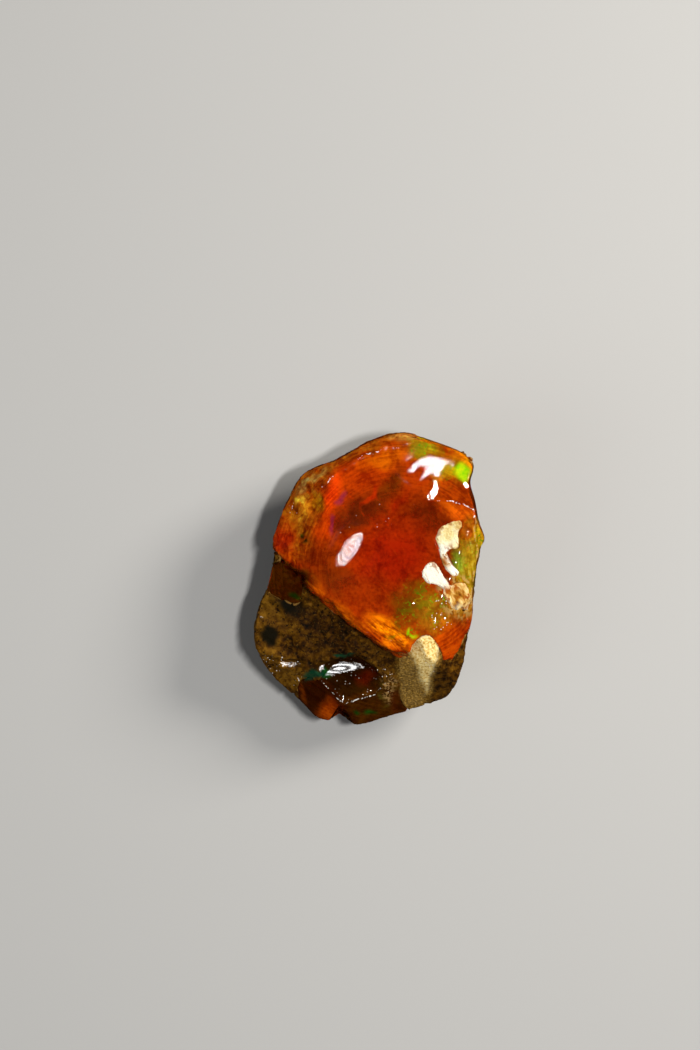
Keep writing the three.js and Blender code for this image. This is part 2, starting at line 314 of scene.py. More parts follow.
def fine_mesh(node, field, voxel):
    """A fine copy of a solid's mesh, moved onto the field's surface, and its points."""
    rough = placed(node + "_rough", frame["nodes"][node].data.copy())
    modifier = rough.modifiers.new("fine", "REMESH")
    modifier.mode = "VOXEL"
    modifier.voxel_size = voxel * MM
    depsgraph = bpy.context.evaluated_depsgraph_get()
    mesh = bpy.data.meshes.new_from_object(rough.evaluated_get(depsgraph))
    bpy.data.objects.remove(rough)
    p = np.zeros(len(mesh.vertices) * 3)
    mesh.vertices.foreach_get("co", p)
    p = p.reshape(-1, 3) / MM
    edges = np.zeros(len(mesh.edges) * 2, int)
    mesh.edges.foreach_get("vertices", edges)
    for _ in range(PASSES):
        p = onto(relaxed(p, edges.reshape(-1, 2)), field)
    return mesh, p


def normals_of(mesh, p):
    mesh.vertices.foreach_set("co", (p * MM).ravel())
    mesh.update()
    normals = np.zeros(len(p) * 3, np.float32)
    mesh.vertex_normals.foreach_get("vector", normals)
    return normals.reshape(-1, 3)


def grain(p, size, octaves=3, seed=0.0, stretch=(1, 1, 1)):
    """Natural noise in about -1 to 1, with features of about `size`, longer where `stretch` is over 1."""
    q = p / (size * np.array(stretch)) + seed
    return np.array([noise.fractal(point, 0.9, 2.1, octaves) for point in q.tolist()])


def warped(p, amount=0.6):
    """The points seen from above, shifted a little to and fro so that patches get natural edges."""
    x = p[:, 0] + amount * (lumps(p, 5.0, 21) + 0.4 * lumps(p, 1.9, 23))
    y = p[:, 1] + amount * (lumps(p, 5.0, 22) + 0.4 * lumps(p, 1.9, 24))
    return x, y


def patch(p, x, y, rx, ry, turn=0, soft=0.6):
    """1 in an oval seen from above, fading to 0 over the share `soft` of its size. `turn` in degrees."""
    wx, wy = warped(p)
    c, s = math.cos(math.radians(turn)), math.sin(math.radians(turn))
    along = (c * (wx - x) + s * (wy - y)) / rx
    across = (c * (wy - y) - s * (wx - x)) / ry
    return 1 - smooth(np.hypot(along, across), 1 - soft, 1 + soft)


def patches(p, ovals):
    return np.maximum.reduce([patch(p, *oval) for oval in ovals])


def near_front(p):
    """1 on the broken face, fading to 0 on what lies below it."""
    return smooth(p[:, 2], 11, 12.5)


def band(p, points, width):
    """1 on a line through the points seen from above, fading to 0 at `width` from it."""
    return 1 - smooth(from_line(*warped(p, 0.3), points), 0, width)


def region(p, outline, soft=0.3, grow=0.0, warp=0.25):
    """1 inside a closed outline seen from above, fading to 0 over `soft` on either side of it."""
    wx, wy = warped(p, warp)
    return 1 - smooth(beyond(wx, wy, outline) - grow, -soft, soft)


def regions(p, outlines, soft=0.3, grow=0.0, warp=0.25):
    return np.maximum.reduce([region(p, outline, soft, grow, warp) for outline in outlines])


def levelled(p, outline, slope, wall, ragged=0.0, level=None):
    """The points, with those inside the outline moved onto a flat break that falls away by `slope`.

    `ragged` is how far its edge wanders in and out. `level` is its height at the middle of the outline.
    Without it, it stays as high as it was.
    """
    x, y = np.mean(outline, axis=0)
    edge = 0.1 + ragged * lumps(p, 0.9, 31)
    share = region(p, outline, 0.12, edge) * (p[:, 2] > FRONT_FROM) * (1 - wall)
    plane = -slope[0] * (p[:, 0] - x) - slope[1] * (p[:, 1] - y)
    if level is None:
        level = np.median((p[:, 2] - plane)[share > 0.5])
    moved = p.copy()
    moved[:, 2] += share * (level + plane - p[:, 2])
    return moved


def mirrored(p, outlines, wall, ragged=0.0, level=None):
    """The points, with a flat break that mirrors the lamp inside each outline."""
    for outline in outlines:
        x, y = np.mean(outline, axis=0)
        slope = (MIRROR_SLOPE[0] - x / MIRROR_REACH, MIRROR_SLOPE[1] - y / MIRROR_REACH)
        p = levelled(p, outline, slope, wall, ragged, level)
    return p


# Where things are, seen from above. Ovals are x, y, half-length, half-width, turn (or 0) and
# softness (or 0.6).
RIDGE = [(-9.2, 5.6), (-8, 9), (-6.6, 13.7), (-5.2, 15.1), (-2.7, 17.5), (0.4, 19), (4.4, 19.7)]
FLAKE_EDGE = [(9.5, 11.9), (11.9, 11.6), (14.2, 11.1), (15.8, 10.4)]
FLAKE = [(9.4, 12), (11.9, 11.6), (14.2, 11.1), (18, 9.8), (17, 16), (12.6, 15.6), (9.6, 14.2)]
UNDER_FLAKE = [(9.6, 11.9), (9.2, 8.6), (13, 8.6), (15.9, 8.4), (16, 10.3), (14.2, 11.1), (11.9, 11.6)]
RIM = [(-11.6, 2.4), (-10.2, -0.2), (-8, -2.6), (-5.4, -5.1), (-2.2, -7.2), (1.8, -10), (4.3, -11.6)]
HOLLOW_RIM = [(-7.8, -14.7), (-5.3, -16.9), (-3.6, -18.4), (-2.5, -18.2), (-0.8, -17.4), (1.8, -15.9)]
CRUST = [
    (-9.4, 3.4), (-8.6, 6), (-8, 9), (-7, 12.5), (-6.6, 14.4), (-4.6, 16.6), (-2.2, 18.6),
    (0.4, 20), (3.4, 20.9), (8.2, 21), (8.2, 24), (-8, 20), (-16, 12), (-16, 2.4),
]
FLANK = [(13.4, 8.6), (12.4, 0.6), (11.6, -5.4), (16, -6.6), (18, 2), (16.6, 9.2)]
TONGUE = [
    (9.4, -7.7), (10.5, -8.8), (10.7, -10.7), (10, -12.8), (9.2, -14.9), (9, -16.6), (7.9, -18.6),
    (5, -19.2), (4.8, -15.9), (4.8, -11.6), (5.6, -9.9), (7.4, -8.4),
]
TONGUE_SHADE = [
    (4.4, -9.4), (5.7, -10.2), (6.6, -11.6), (7.2, -13.1), (7.6, -14.6), (8.5, -15.9), (9.2, -18.6),
    (9, -20), (4, -20),
]
TONGUE_EDGE = [(10.8, -10.8), (10, -12.9), (9.2, -15), (9, -16.8), (7.9, -18.8)]  # in shadow
HOLLOW = [
    (-8.6, -14), (-7.6, -12), (-4.4, -10.9), (-0.6, -11.2), (1.2, -12.8), (2.2, -15.2), (0.6, -17.2),
    (-3.4, -18.6), (-6.2, -16.6),
]
LEFT_LOBE = [(-11, -15), (-8, -14.6), (-6.2, -16.4), (-4.2, -18.6), (-5.4, -22), (-9, -22), (-12, -18)]
RIGHT_LOBE = [(-4.2, -18.6), (-0.6, -17.6), (2.2, -15.6), (4.8, -15.4), (5.2, -20), (3, -23), (-4, -23)]
FLAKY = [(-1.5, -6.2), (4, -6), (6.4, -8.2), (4.8, -12), (0, -9.6)]
LOWER_RIGHT = [(4.2, -0.4), (8.6, -0.8), (12.2, -2.2), (12.6, -7.4), (8.6, -7.6), (3, -6.2)]
CRUSHED = [  # lines along which an edge is painted white, partly its own crushed white and partly painted glints, and how closely
    ([(11.4, 11.8), (12.4, 11.7), (14.2, 11.2)], 1.12), ([(14.2, 11.2), (15.7, 10.6), (15.7, 9.4)], 1.3),
    ([(9.4, 12), (11.4, 11.8)], 0.92),
    ([(-2.6, 17.5), (0, 19), (2.2, 19.6), (4.4, 19.8)], 0.9),
    ([(-7.2, 13.7), (-5.2, 15.7)], 0.9),
    ([(-7.6, -14.9), (-5.6, -17), (-3.8, -18.6), (-1.6, -17.9), (1, -17), (1.9, -16.2)], 0.98),
]
SEAM = [(15.9, 9.4), (15.8, 6.4), (15.95, 4.4), (15.6, 0.5), (15.4, -3.8)]  # down the right edge
POCKET_SLOPE = (-0.2, -0.12)  # of the pocket's flat face
MIRROR_SLOPE = (0.107, 0.018)  # of a flat break at the middle that mirrors the lamp to the viewer
MIRROR_REACH = 490  # how far away the lamp and the viewer are, in millimetres
STAR = [
    (5.8, 16.3), (6.5, 17.2), (7.2, 17.8), (8.2, 18.2), (8.9, 18.5), (10, 18.1), (10.9, 18),
    (11.9, 17.6), (11.3, 17.2), (10.9, 16.7), (10.5, 16.1), (10.3, 15.7), (10.5, 15), (9.9, 15.1),
    (9.6, 16), (8.9, 15.8), (7.7, 15.1), (8.4, 16.4), (8.3, 16.9), (7.7, 17.2), (7.1, 16.7), (6.5, 16.1),
]
STAR_FACET = [(5, 15.8), (6.2, 18), (8.9, 19.2), (13.2, 18.3), (12.4, 16), (11, 14.6), (7, 14.4)]
GLINT = [(12.3, 17.5), (12.9, 17.5), (12.9, 16.9), (12.4, 16.8)]
BEAN_SHINE = [
    (-7.6, -13.2), (-7.2, -12.7), (-6, -12.5), (-4, -12.35), (-2.1, -12.4), (-1.2, -12.6),
    (-0.7, -13.2), (-1.3, -13.3), (-2.4, -13.5), (-4, -13.8), (-5.4, -14.1), (-6.6, -14.2), (-7.3, -13.8),
]
BEAN_FACET = [
    (-8, -13.4), (-7.4, -12.4), (-4, -12), (-1, -12.2), (-0.3, -13.4), (-3.4, -14.3), (-7, -14.8),
]
HOLLOW_LEVEL = 11.3  # height of the flat break in the hollow
FRONT_FROM = 8.0  # flat breaks are made only above this height
LEAF = [
    (-1, 7.2), (-0.9, 6.1), (-1.5, 4.8), (-2.6, 3.3), (-3.7, 2.3), (-4.8, 2.2), (-4.9, 3.3), (-4.3, 4.6),
    (-3.2, 6), (-2, 6.9),
]
LEAF_FACET = [
    (-0.8, 7.6), (-0.6, 6), (-2.4, 3.2), (-3.6, 2), (-5.2, 1.9), (-5.2, 3.4), (-3.4, 6.2), (-2, 7.3),
]
SHINES = [STAR, GLINT, BEAN_SHINE, LEAF]
DULL_FIELDS = [  # round the shines, and dull outside them
    [(4.6, 14.4), (4.8, 17.6), (7, 19.4), (9.6, 20.8), (13.6, 18.8), (13, 15.8), (11.1, 14.8), (7.2, 14)],
    [(-8.2, -14.4), (-7.8, -11.8), (0.4, -11.6), (0.6, -15), (-3.4, -15.4), (-7, -15.6)],
    [(0.6, 8.4), (1.4, 5), (-1.2, 1), (-6, 0.6), (-6.6, 4), (-3.4, 8.4)],
]
OPAL_MIRRORS = [
    STAR_FACET, LEAF_FACET,
    [(10.5, 15), (9.4, 15), (8.9, 13.2), (9, 11.9), (9.7, 11.9), (10.3, 13.4)],
    [(13.6, 14.7), (14.4, 14.8), (14.8, 13.6), (14.2, 13.5)],
    [(9.1, -2.8), (9.6, -2.7), (9.5, -3.5), (9, -3.4)],
    [(9.4, -5.2), (10, -5.3), (9.9, -6.3), (9.4, -6.1)],
    [(10.9, -5.4), (11.6, -5.5), (11.5, -6.1), (11, -5.9)],
    [(1.6, -13.6), (2.6, -13.8), (2.2, -14.6), (1.5, -14.4)],
]
ROCK_MIRRORS = [
    [(-13.8, -12.4), (-12.6, -11.8), (-10.4, -12), (-9.6, -12.6), (-11.2, -13.2), (-13.2, -13.4)],
    [(-15.4, -13.6), (-14.8, -13), (-14.6, -14), (-15, -14.6)],
    [(-11.2, -14.2), (-10.6, -14), (-10.4, -15.2), (-11, -15.4)],
    [(-15.9, -5.3), (-15.4, -5.2), (-15.3, -5.9), (-15.8, -6)],
]
DULL_LINES = [
    [(-7.9, 0.4), (-7.5, 5.2), (-6.5, 10.6)], [(8.5, -3.7), (8.4, -6.8)], [(5.8, -7.2), (8, -6.5)],
    [(-9.6, -0.3), (-7.6, -1.8), (-5.8, -3)],
]
RAGGED = [  # islands with a ragged edge, the softness of its inner side, and its width
    (EDGE_ISLAND, 0.5, 1.1), (BEAN, 0.35, 0.45), (PALE_ISLAND, 0.35, 0.45), (PALE_STREAK, 0.35, 0.45),
]
CRUMBS = [(2.9, -15.6, 0.8, 1, 0, 0.7), (3.3, -17.2, 0.7, 1.1, 0, 0.7)]
# An oval of painted glints, white specks where the stone sparkles, shared by both pieces.
GLITTER = (2.4, -14.2, 1.1, 1, 0, 0.7)
TEAL = (-8.6, -14.4, 1.3, 0.7, 25, 0.4)
OPAL_RELIEF = [  # outline, softness of its edge, height of its bumps, height of its chips
    (CRUST, 0.5, 0.18, 0.06), (FLANK, 0.8, 0.12, 0.05), (LOWER_RIGHT, 1.2, 0.1, 0.06),
    (RIGHT_LOBE, 0.5, 0.14, 0.05),
]


def near_islands(p):
    return regions(p, ISLANDS, 0.5, 0.3) * near_front(p)


def dressed_opal(p, normals, wall):
    """The opal's points with its fine relief. `wall` is 1 on its hidden contact with the rock."""
    bumps = grain(p, 2.2, octaves=4, seed=3.1)
    chips = grain(p, 0.8, seed=7.7)
    flakes = grain(p @ LEDGE_TURN, 1.3, octaves=4, seed=5.3, stretch=(5, 1, 1.3))
    height = 0.01 * grain(p, 4.0, octaves=2, seed=1.7)
    for outline, soft, bump_height, chip_height in OPAL_RELIEF:
        height += region(p, outline, soft) * (bump_height * bumps + chip_height * chips)
    height += band(p, RIM, 1.8) * 0.26 * flakes
    height += region(p, FLAKY, 0.8) * 0.22 * flakes
    height += (band(p, RIDGE, 0.45) + band(p, HOLLOW_RIM, 0.5)) * 0.22 * chips
    height += band(p, FLAKE_EDGE, 0.3) * (0.05 + 0.1 * chips)
    height *= (1 - wall) * (1 - 0.8 * near_islands(p))
    p = levelled(p + normals * height[:, None], POCKET, POCKET_SLOPE, wall)
    p = mirrored(p, OPAL_MIRRORS, wall)
    return mirrored(p, [BEAN_FACET], wall, level=HOLLOW_LEVEL)


def dressed_rock(p, normals, wall):
    """The rock's points with its fine relief. The flat base stays as it is."""
    grit = grain(p, 0.9, octaves=4, seed=11.3)
    swells = grain(p, 3.2, seed=2.9)
    pits = smooth(grain(p, 1.1, octaves=2, seed=19.1), 0.28, 0.6)
    sugar = grain(p, 0.5, octaves=2, seed=23.5)
    cream = pale_rock(p)
    height = (0.11 * grit + 0.22 * swells - 0.3 * pits) * (1 - cream)
    height += cream * (0.1 * swells + 0.07 * sugar) * (1 - 0.6 * near_islands(p))
    height *= (1 - wall) * smooth(p[:, 2], 0.05, 0.8)
    p = mirrored(p + normals * height[:, None], ROCK_MIRRORS, wall, ragged=0.25)
    return mirrored(p, [BEAN_FACET], wall, level=HOLLOW_LEVEL)


def pale_rock(p):
    """1 on the islands and the tongue."""
    islands = regions(p, ISLANDS, 0.3, 0.6) * near_front(p)
    return np.maximum(islands, region(p, TONGUE, 0.25) * smooth(p[:, 2], 5, 9))


def buff_rock(p):
    """1 on the island at the right edge and on the shaded ends of the others."""
    ends = patches(p, [(14, 8.8, 1.4, 0.7, 30, 0.8), (10.6, 2.6, 0.5, 1.2, 30, 0.8)])
    return np.maximum(region(p, EDGE_ISLAND, 0.8), ends) * near_front(p)


OPAL_GAIN = 1.25  # the see-through share darkens a colour by about this
ARC_CENTRE = (5, 2)  # of the conchoidal streaks in the opal
SIDE_SHIFT = 3.0  # how far the colours wander to and fro down the sides

# Colours are linear. Where several areas cover a place, the later one lies over the earlier.
BODY = (0.42, 0.035, 0.001)
SHADES = [
    ((-1, 16.5, 6.5, 2.8, 17), (0.54, 0.045, 0.001)),  # the fan of streaks at the upper left
    ((2.5, 18.3, 3.4, 1.4, 17), (0.66, 0.105, 0.001)),
    ((-5.3, 13.2, 3.2, 1, 80, 0.7), (0.62, 0.034, 0.001)),
    ((0, 19.8, 2.4, 0.6, 22), (0.52, 0.11, 0.004)),
    ((-1, 10.2, 4.4, 2.1, 35, 0.7), (0.12, 0.014, 0.001)),  # the dark valley across the middle
    ((3.2, 14.5, 2.8, 1.1, 50, 0.7), (0.2, 0.028, 0.001)),
    ((8, 10, 3.2, 2.1, -20, 0.7), (0.17, 0.016, 0.001)),
    ((12.2, 13.2, 3.6, 1.8, -5, 0.4), (0.46, 0.052, 0.001)),  # the flake at the upper right
    ((11.8, 16.4, 2, 1.7), (0.44, 0.21, 0.002)),
    ((8.3, 19.4, 2.2, 0.9, -10), (0.46, 0.29, 0.006)),
    ((4, 3.5, 5.8, 4.8, 20, 0.7), (0.35, 0.012, 0.001)),  # the red middle
    ((4.2, 11.4, 2.2, 0.6, 60, 0.8), (0.34, 0.016, 0.001)),
    ((0.2, 12.4, 1.6, 0.4, 60, 0.8), (0.5, 0.026, 0.001)),
    ((-7, 9, 1.6, 3.5), (0.56, 0.046, 0.001)),
    ((-7, 4, 2.8, 2.4, 0, 0.7), (0.27, 0.028, 0.001)),
    ((-5, 0, 4.4, 2.4, -38, 0.7), (0.17, 0.02, 0.001)),
    ((0, -3, 4.2, 2.6, -20, 0.7), (0.35, 0.028, 0.001)),
    ((-5, -4.3, 7.5, 1.2, -40), (0.46, 0.07, 0.001)),  # along the ledge
    ((-9.2, 0, 1.6, 1.2, -50, 0.7), (0.14, 0.022, 0.001)),
    ((6, -3.6, 2.8, 2.8), (0.22, 0.034, 0.001)),
    ((3.4, -7.6, 3.6, 1.6, -25, 0.5), (0.8, 0.16, 0.001)),
    ((1.8, -9.4, 3.4, 1.2, -38, 0.5), (0.52, 0.062, 0.001)),
    ((9.6, -5, 2.4, 2.8), (0.34, 0.105, 0.004)),
    ((11.8, -9, 1.8, 2.6, 20, 0.5), (0.58, 0.062, 0.001)),
    ((14.6, 2.2, 2.2, 6.6, -6, 0.4), (0.34, 0.17, 0.005)),  # the right flank
    ((13, 2.9, 1, 1.8, 20), (0.22, 0.24, 0.016)),
    ((13.4, -3.8, 2.2, 2.2, 0, 0.7), (0.42, 0.15, 0.01)),
    ((14.6, 7.6, 1.4, 1.2), (0.46, 0.09, 0.002)),
    ((16.7, 6.4, 0.8, 1.8), (0.58, 0.34, 0.008)),
    ((14.2, 19, 7, 1.1, -48), (0.85, 0.2, 0.002)),  # the rim at the upper right
    ((9.5, 21.3, 5, 0.8, -14), (0.8, 0.17, 0.002)),
]
CRUST_SHADES = [
    ((-12.8, 5.6, 1.8, 2.4, 0, 0.7), (0.36, 0.016, 0.001)),
    ((-11.6, 4, 1.4, 0.7, 0, 0.7), (0.48, 0.05, 0.001)),
    ((-10.2, 12.1, 0.8, 0.8, 30), (0.76, 0.42, 0.03)),
    ((-7.2, 16.1, 1.1, 0.4, 35), (0.42, 0.18, 0.03)),
    ((-9.5, 14.2, 1.5, 0.6, 30), (0.42, 0.2, 0.04)),
    ((-9.6, 10.2, 1.3, 1.6, 0, 0.7), (0.52, 0.15, 0.006)),
    ((-7.5, 11.4, 0.8, 1.1, 0, 0.7), (0.46, 0.17, 0.003)),
    ((-9.8, 7, 0.35, 0.45), (0.02, 0.02, 0.001)),
    ((-9.6, 5.8, 0.35, 0.35), (0.02, 0.016, 0.001)),
    ((5.8, 21.6, 2.4, 0.8, 0, 0.5), (0.46, 0.15, 0.024)),
]
DARK = [
    (POCKET, 0.7, (0.058, 0.012, 0.0004)), (HOLLOW, 0.3, (0.02, 0.0055, 0.0003)),
    (LEFT_LOBE, 0.8, (0.03, 0.005, 0.0003)), (RIGHT_LOBE, 0.8, (0.046, 0.011, 0.0005)),
]
LATE_SHADES = [
    ((-11.2, -2.6, 0.6, 0.4, 0, 0.7), (0.01, 0.04, 0.001)),  # a green spot in the pocket
    # Painted light: the end of the left lobe that faces the lamp is laid on lighter.
    ((-6.2, -19.8, 1.5, 1.3, 30, 0.8), (0.4, 0.05, 0.001)),  # the lit end of the left lobe
    ((-10.2, -17.2, 0.4, 1.6, 20, 0.7), (0.12, 0.02, 0.001)),
    ((-0.5, -14.6, 1.4, 0.8, 0, 0.8), (0.08, 0.006, 0.0005)),
    ((-6.9, -13.9, 0.9, 0.5, 20), (0.004, 0.06, 0.008)),
    ((4, -18.4, 0.9, 2.2), (0.064, 0.011, 0.001)),
    ((3, -15.6, 1.2, 1.2, 0, 0.8), (0.09, 0.04, 0.004)),
    ((2.6, -17.6, 0.9, 1.8, 10, 0.8), (0.056, 0.021, 0.002)),
    ((0.2, -20.4, 0.9, 0.4, 0, 0.8), (0.009, 0.03, 0.002)),
    ((-2, -20.2, 0.5, 0.4, 0, 0.8), (0.008, 0.03, 0.002)),
]


def over(colours, share, tone):
    """The colours with `tone` laid over them, by `share`."""
    return colours * (1 - share[:, None]) + share[:, None] * np.array(tone)


def shaded(p, colours, ovals):
    for oval, tone in ovals:
        colours = over(colours, patch(p, *oval), tone)
    return colours


def opal_colours(p, up):
    """The broad colour of each place. The material breaks it up. `up` is 0 on the sides."""
    side = (1 - up) * smooth(nodule(p), -1.2, -0.4)
    shift = np.stack([lumps(p, 5, 41), lumps(p, 5, 42), np.zeros(len(p))], axis=1)
    p = p + SIDE_SHIFT * side[:, None] * shift
    colours = shaded(p, np.tile(BODY, (len(p), 1)), SHADES)
    flake = region(p, FLAKE, 0.12) * (1 - patch(p, 12.4, 17, 3.6, 2.4, 0, 0.5)) * up
    colours = over(colours, flake, (0.44, 0.046, 0.001))
    # Painted light: a lighter orange band under the flake's edge, where the lamp lights that face.
    glow = region(p, UNDER_FLAKE, 0.15) * smooth(p[:, 1], 7.4, 11) * smooth(p[:, 0], 9, 13) * up
    colours = over(colours, glow, (0.66, 0.09, 0.002))
    colours = over(colours, region(p, CRUST, 0.9), (0.34, 0.06, 0.002))
    colours = shaded(p, colours, CRUST_SHADES)
    for outline, grow, tone in DARK:
        colours = over(colours, region(p, outline, 0.35, grow), tone)
    return shaded(p, colours, LATE_SHADES)


def opal_masks(p, wall, up):
    """The share of each look at each place. `up` is 0 on the sides, which have none of the small marks."""
    rough_patches = patches(p, [(3.1, -15.3, 1.4, 1.2), (2.6, -17.6, 1.1, 2, 10)])
    return {
        "crust": np.maximum(region(p, CRUST, 0.9), rough_patches),
        "dark": np.maximum.reduce([region(p, outline, 0.35, grow) for outline, grow, _ in DARK]),
        "lit": patches(p, [
            (14.1, 16.4, 1.6, 1.8, 0, 0.5), (3, -8.2, 4.4, 2, -35), (14.2, 19, 7, 1.1, -48),
            (9.5, 21.3, 5, 0.9, -14), (14.6, 2.2, 2.2, 6.6, -6, 0.4), (13.5, 9.8, 3, 1),
            (-5.5, 13.6, 3.2, 1.2, 80, 0.7), (11.6, 17, 3, 2.4), (8.3, 19.4, 2.4, 1.1, -10),
            (-6.4, -19.6, 1.9, 1.6, 30, 0.7), (9.6, -5, 3, 3.4), (2.8, -15.4, 1.3, 0.9, 0, 0.5),
        ]),
        "crushed": np.maximum.reduce([share * band(p, line, 0.5) for line, share in CRUSHED]) * up,
        "seam": band(p, SEAM, 0.5) * up,
        "fibres": region(p, FLANK, 0.5),
        "dusty": np.maximum.reduce([
            region(p, HOLLOW, 0.5), 0.5 * patch(p, 2.4, -15.4, 1.6, 2.2),
            0.5 * patch(p, 0.5, 9.4, 5.5, 3.0, 30, 0.8),
        ]) * up,
        "layers": np.maximum(band(p, RIM, 2.6), region(p, FLAKY, 0.8)),
        "dull": np.maximum(
            regions(p, DULL_FIELDS, 0.3) * (1 - regions(p, SHINES, 0.12, 0, 0)),
            np.maximum.reduce([np.minimum(2 * band(p, line, 2.2), 1) for line in DULL_LINES]),
        ),
        "shine": regions(p, SHINES, 0.2, 0.3, 0),
        "star": regions(p, [STAR, GLINT], 0.2, 0.5, 0),
        "crumbs": patches(p, CRUMBS) * up,
        "streaks": region(p, EDGE_ISLAND, 0.5, 0.9) * up,
        # Painted glints: white specks where the opal sparkles.
        "glitter": patches(p, [
            GLITTER, (-10.9, 11, 1, 0.8, 0, 0.7), (-9.8, 11, 0.35, 0.3, 0, 0.3),
            (10.4, -6, 1.4, 0.8, -30, 0.7), (11, -3, 1, 0.8, 0, 0.7),
        ]) * up,
        "olive": patches(p, [
            (11.8, 16.2, 3, 1.9), (14.6, 2, 2, 6.4, 0, 0.4), (6.2, -3.8, 2.6, 3.2),
            (10.2, -4.2, 2.2, 3), (8.8, 20, 4.2, 1.2, -12),
        ]) * up,
        "arcs": smooth(np.hypot(p[:, 0] - ARC_CENTRE[0], p[:, 1] - ARC_CENTRE[1]), 7.5, 13),
        "green": patches(p, [
            (8.2, 19.2, 2.2, 0.9, 0, 0.5), (13, 2.7, 2, 0.8, -60), (7.8, -1.4, 0.9, 1.2, 0, 0.7),
            (7.1, -7.9, 1.1, 0.6, -50), (5.2, -4.8, 1.6, 0.8, 40, 0.8), (16.5, 6.3, 0.7, 1.2),
            (4.2, -8.2, 1.4, 0.5, 20, 0.8), (10.6, -2.4, 1.6, 0.9, 0, 0.8), (8.6, -3.8, 1.2, 1.6, 0, 0.8),
        ]) * up,
        "lime": patches(p, [
            (14, 16.1, 1.4, 1.6, 0, 0.35), (6.9, -8, 0.6, 0.2, -45), (6.3, -7.4, 0.2, 0.5, -20),
        ]) * up,
        "teal": patch(p, *TEAL) * up,
        "violet": patches(p, [(-4, 12.2, 0.9, 0.4, 60, 0.8), (-5.5, 8.4, 0.9, 0.3, 80, 0.8)]),
    }


def rock_masks(p, wall, up):
    # Amber shows through the thin rock at the upper right corner.
    corner = patch(p, 14.9, 18.6, 1.5, 1.3, 0, 0.5) * smooth(p[:, 2], 11.2, 12.2)
    return {
        "wall": np.maximum(wall, 0.5 * corner),
        "cream": pale_rock(p),
        "buff": buff_rock(p),
        # Painted highlight: these islands are laid on whiter, partly their own white and partly the lamp's
        # glare on them.
        "white": regions(p, [PALE_ISLAND, PALE_STREAK], 0.4, 0.4),
        "spots": patches(p, [(9.4, 2.6, 1, 0.5), (11.1, 3.2, 0.4, 1.2, 25)]) * up,
        "tongue": region(p, TONGUE, 0.6),
        "shade": np.maximum(region(p, TONGUE_SHADE, 0.6), band(p, TONGUE_EDGE, 0.7)),
        "crumbs": patches(p, CRUMBS) * up,
        "edge": np.maximum.reduce([
            region(p, outline, 0.6) * (1 - region(p, outline, soft, -width))
            for outline, soft, width in RAGGED
        ]) * near_front(p),
        # Painted glints: white specks where the rock sparkles.
        "glitter": patches(p, [
            GLITTER, (-14.6, -12.8, 1.4, 1.6, 0, 0.7), (-10.9, -14.8, 1, 1.4, 0, 0.7),
            (-12.6, -11.6, 2.4, 0.8, 0, 0.7), (8.6, -11.6, 1.2, 2.4, 0, 0.7),
        ]) * up,
        "glass": patches(p, [(-15.1, -8, 1.5, 1.4, 0, 0.3), (-12.2, -3.6, 2.4, 1, -35)]),
        "teal": patches(p, [TEAL, (-3.8, -11, 1.3, 0.25, 0, 0.5)]) * up,
        "tan": patches(p, [
            (-15.5, -9, 2.4, 9), (-11.5, -14.5, 4.5, 2, -45),
            (-12.8, -6.4, 2.8, 2, -20, 0.8),
        ]),
        # Painted shadow: the rock below the ledge, where the ledge shades it.
        "dim": patch(p, -6.8, -7.6, 4.6, 2.0, -36, 0.7),  # below the ledge
        "wet": regions(p, ROCK_MIRRORS + [BEAN_FACET], 0.25, 0.3) * up,
    }


# -------------------------------------------------------------- materials


